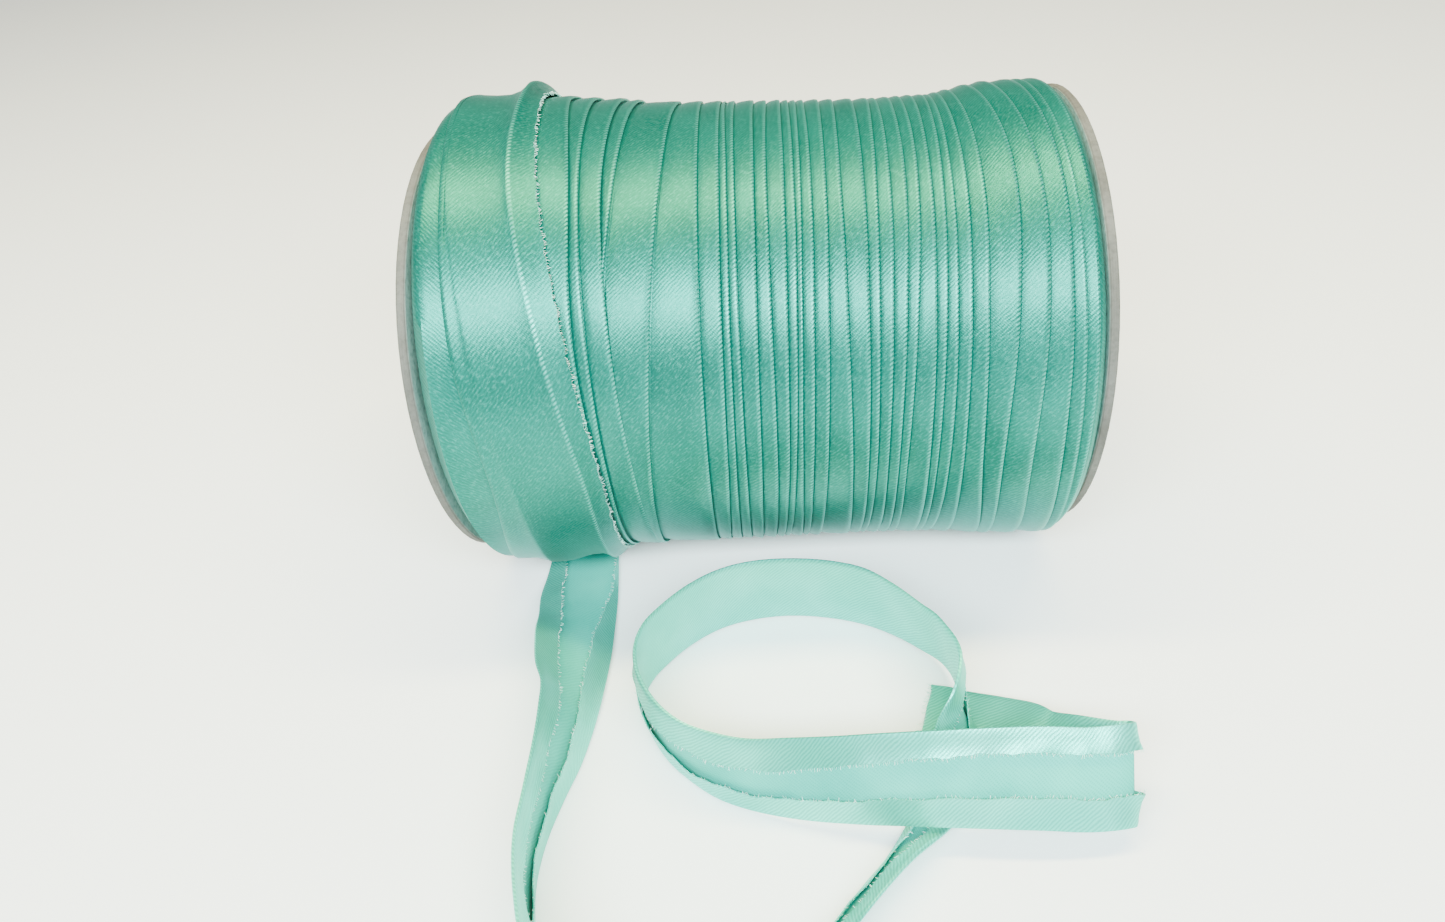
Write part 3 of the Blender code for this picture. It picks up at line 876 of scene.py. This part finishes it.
def wovenFinish(name, rightSide, body, light):
    finish = Finish(name)
    cloth = finish.node("ShaderNodeUVMap", uv_map="clothMm")
    split = finish.node("ShaderNodeSeparateXYZ")
    finish.link(cloth.outputs[0], split.inputs[0])
    u, v = split.outputs[0], split.outputs[1]
    slant = finish.maths("ADD", u, v)
    cross = finish.maths("SUBTRACT", u, v)
    soft = finish.noise(cloth.outputs[0], 0.55, 3.0)          # threads aren't dead straight
    nudge = finish.maths("MULTIPLY", soft, 0.9)
    twill = finish.lines(finish.maths("ADD", slant, nudge), satin["twillPitch"] * 1.414)
    fine = finish.lines(cross, satin["crossPitch"] * 1.414)
    floats = finish.node("ShaderNodeCombineXYZ")             # threads on top lie along the slant
    finish.link(finish.maths("MULTIPLY", slant, 1.9), floats.inputs[0])
    finish.link(finish.maths("MULTIPLY", cross, 0.62), floats.inputs[1])
    speck = finish.noise(floats.outputs[0], 1.0, 3.0, 0.65)
    broad = finish.noise(cloth.outputs[0], 0.06, 2.0)
    twillShare = finish.ramp(twill, -1.0, 1.0)
    fineShare = finish.ramp(fine, -1.0, 1.0)
    tone = finish.mix(finish.ramp(broad, 0.3, 0.7), body, light)
    if rightSide:
        between = finish.maths("SUBTRACT", 1.0, twillShare)
        dark = finish.maths("MULTIPLY", between, satin["lineDark"])
        base = finish.mix(dark, tone, satin["deep"])
        # painted highlight: pale dashes where threads cross the right fold edge
        leaning = finish.maths("ADD", v, finish.maths("MULTIPLY", u, 0.7))
        dashes = finish.lines(leaning, satin["dashPitch"])
        fold = finish.maths("MULTIPLY", finish.ramp(u, 0.85, 0.25), finish.ramp(u, -0.35, -0.05))
        fold = finish.maths("MULTIPLY", fold, finish.ramp(dashes, -0.4, 0.5))
        fold = finish.maths("MULTIPLY", fold, satin["foldHighlight"])
        base = finish.mix(fold, base, satin["thread"])
    else:
        crossing = finish.maths("MULTIPLY", fineShare, twillShare)
        dark = finish.maths("MULTIPLY", crossing, satin["wrongDark"])
        base = finish.mix(dark, tone, satin["deep"])
    # painted glints: pale specks in the base colour stand in for the satin's sparkle
    pale = finish.maths("MULTIPLY", finish.ramp(speck, 0.5, 0.78), satin["speckGlint"])
    base = finish.mix(pale, base, satin["thread"])
    finish.link(base, finish.shader.inputs["Base Color"])
    rough = finish.maths("ADD", finish.maths("MULTIPLY", speck, 0.22 if rightSide else 0.12),
                         satin["roughness"] if rightSide else satin["wrongRoughness"])
    finish.link(rough, finish.shader.inputs["Roughness"])
    lines = finish.maths("ADD", finish.maths("MULTIPLY", twillShare, 0.6 if rightSide else 0.45),
                         finish.maths("MULTIPLY", fineShare, 0.16 if rightSide else 0.55))
    lines = finish.maths("ADD", lines, finish.maths("MULTIPLY", speck, 0.55))
    bump = finish.node("ShaderNodeBump")
    bump.inputs["Strength"].default_value = satin["bump"]
    bump.inputs["Distance"].default_value = satin["bumpDeep"] * 0.001
    finish.link(lines, bump.inputs["Height"])
    finish.link(bump.outputs[0], finish.shader.inputs["Normal"])
    finish.shader.inputs["Metallic"].default_value = (
        satin["gloss"] if rightSide else satin["wrongGloss"])
    finish.shader.inputs["Sheen Weight"].default_value = satin["sheen"]
    finish.shader.inputs["Sheen Roughness"].default_value = 0.4
    finish.shader.inputs["Sheen Tint"].default_value = (*satin["sheenTint"], 1.0)
    finish.shader.inputs["Specular IOR Level"].default_value = 0.45 if rightSide else 0.3
    finish.shader.inputs["Specular Tint"].default_value = (*satin["shineTint"], 1.0)
    return finish.material


def threadFinish():
    finish = Finish("frayedThread")
    place = finish.node("ShaderNodeTexCoord")
    tone = finish.noise(place.outputs["Object"], 900.0, 1.0)
    base = finish.mix(finish.ramp(tone, 0.35, 0.65), fray["tone"], fray["pale"])
    finish.link(base, finish.shader.inputs["Base Color"])
    finish.shader.inputs["Roughness"].default_value = 0.6
    return finish.material


def boardFinish():
    finish = Finish("greyBoard")
    place = finish.node("ShaderNodeTexCoord").outputs["Object"]
    fibre = finish.noise(place, 900.0, 4.0, 0.65)
    cloud = finish.noise(place, 60.0, 3.0)
    plies = finish.node("ShaderNodeMapping")
    plies.inputs["Scale"].default_value = board["plies"]
    finish.link(place, plies.inputs["Vector"])
    layers = finish.noise(plies.outputs[0], 1.0, 2.0, 0.6)
    parts = finish.node("ShaderNodeSeparateXYZ")
    finish.link(place, parts.inputs[0])
    aside = parts.outputs[1]
    up = finish.maths("SUBTRACT", parts.outputs[2], spool["axisHeight"] * 0.001)
    squares = finish.maths("ADD", finish.maths("MULTIPLY", up, up),
                           finish.maths("MULTIPLY", aside, aside))
    fromAxis = finish.maths("SQRT", squares)
    onRim = finish.ramp(fromAxis, board["rimFrom"] * 0.001, board["rimTo"] * 0.001)
    patches = finish.ramp(cloud, 0.3, 0.7)
    face = finish.mix(patches, board["pale"], board["paler"])
    base = finish.mix(onRim, face, finish.mix(patches, board["rim"], board["worn"]))
    specks = finish.maths("MULTIPLY", finish.ramp(fibre, 0.45, 0.75), 0.5)
    base = finish.mix(specks, base, board["dark"])
    plied = finish.maths("MULTIPLY", finish.ramp(layers, 0.5, 0.8), 0.35)
    base = finish.mix(plied, base, board["dark"])
    finish.link(base, finish.shader.inputs["Base Color"])
    rough = finish.maths("ADD", finish.maths("MULTIPLY", cloud, 0.2), 0.7)
    finish.link(rough, finish.shader.inputs["Roughness"])
    bump = finish.node("ShaderNodeBump")
    bump.inputs["Strength"].default_value = 0.5
    bump.inputs["Distance"].default_value = 0.00015
    finish.link(finish.maths("ADD", fibre, layers), bump.inputs["Height"])
    finish.link(bump.outputs[0], finish.shader.inputs["Normal"])
    finish.shader.inputs["Specular IOR Level"].default_value = 0.3
    return finish.material


# materials, then the pieces
satinRight = wovenFinish("satinRightSide", True, satin["body"], satin["light"])
satinWrong = wovenFinish("satinWrongSide", False, satin["wrong"], satin["light"])
# paler copies of both sides for the loose end: painted light, in place of the light its flaps and
# walls catch
looseRight = wovenFinish("looseLitRightSide", True, satin["looseLitBody"], satin["looseLitLight"])
looseWrong = wovenFinish("looseLitWrongSide", False, satin["looseWrong"], satin["looseLitBody"])
threadLook = threadFinish()
boardLook = boardFinish()
print("finishes made")

windings = windTape([satinRight, satinWrong])
print("tape wound,", len(windings.data.polygons), "faces")
looseTape, raws, cutSpots = layLooseEnd([looseRight, looseWrong])

rng = random.Random(fray["seed"])
tree, sockets = frayTree(threadLook)
rawSpots = []
for side in (0, 1):
    edge = [row[side] for row in raws]
    rawSpots += spotsAlong(edge, fray["perMm"], rng, fray["spread"])
looseFray = growFray("looseFray", rawSpots, fray["length"], tree, sockets, threadLook, 3)
cutFray = growFray("cutFray", spotsAlong(cutSpots, fray["cutPerMm"], rng, fray["wideSpread"]),
                   fray["cutLength"], tree, sockets, threadLook, 5)
flapEdge = []
for section in lastSections(fray["flapUntil"]):
    size = len(section) // 2
    tip = Vector(section[size - 1][0])
    outward = (tip - Vector(section[size - 3][0])).normalized()
    aside = tip.cross(Vector((1, 0, 0))).normalized()
    flapEdge.append((tip, outward * 0.9 + aside * 0.1))
flapFray = growFray("flapFray", spotsAlong(flapEdge, fray["flapPerMm"], rng, fray["wideSpread"]),
                    fray["length"], tree, sockets, threadLook, 9)

for node in ("flange_left", "flange_right"):
    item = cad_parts[node]
    item.data.materials.clear()
    item.data.materials.append(boardLook)

for item in (windings, looseTape, looseFray, cutFray, flapFray):
    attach(item, "root")
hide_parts("wound_tape")
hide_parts("loose_tape")


# table, lights
stage = {
    "floor": (0.94, 0.94, 0.935),
    "floorPatch": (0.93, 0.93, 0.93),
    "half": 3.0,             # m, from the middle of the table to its edges
    "glow": 0.18,
    # place, size, power in W and colour of each light
    "warm": ((0, 60, 700), (900, 90), 12.0, (1.0, 0.86, 0.42)),
    "cool": ((0, -560, 560), (1000, 200), 27.0, (0.80, 0.97, 1.0)),
    "front": ((220, -820, 150), (420, 150), 1.3, (0.80, 1.0, 1.0)),
    "side": ((-700, -250, 380), (400, 400), 0.7, (0.92, 0.98, 1.0)),
    "around": 0.24,
}


def layTable():
    mesh = bpy.data.meshes.new("tableTop")
    h = stage["half"]
    mesh.from_pydata([(-h, -h, 0), (h, -h, 0), (h, h, 0), (-h, h, 0)], [], [(0, 1, 2, 3)])
    finish = Finish("paleTable")
    place = finish.node("ShaderNodeTexCoord").outputs["Object"]
    base = finish.mix(finish.noise(place, 3.0), stage["floor"], stage["floorPatch"])
    finish.link(base, finish.shader.inputs["Base Color"])
    finish.shader.inputs["Roughness"].default_value = 0.8
    finish.shader.inputs["Emission Color"].default_value = (1.0, 1.0, 1.0, 1.0)
    finish.shader.inputs["Emission Strength"].default_value = stage["glow"]
    mesh.materials.append(finish.material)
    item = bpy.data.objects.new("tableTop", mesh)
    bpy.context.collection.objects.link(item)


def lightUp():
    for name in ("warm", "cool", "front", "side"):
        place, size, power, color = stage[name]
        data = bpy.data.lights.new(name + "Light", "AREA")
        data.shape = "RECTANGLE"
        data.size, data.size_y = size[0] * 0.001, size[1] * 0.001
        data.energy = power
        data.color = color
        item = bpy.data.objects.new(name + "Light", data)
        spot = Vector(place) * 0.001
        item.location = spot
        item.rotation_euler = (spot - Vector((0, 0, 0.05))).to_track_quat("Z", "Y").to_euler()
        bpy.context.collection.objects.link(item)
    world = bpy.data.worlds.new("studio")
    world.use_nodes = True
    back = world.node_tree.nodes["Background"]
    back.inputs[0].default_value = (1.0, 1.0, 1.0, 1.0)
    back.inputs[1].default_value = stage["around"]
    bpy.context.scene.world = world


layTable()
lightUp()
print("table and lights set")
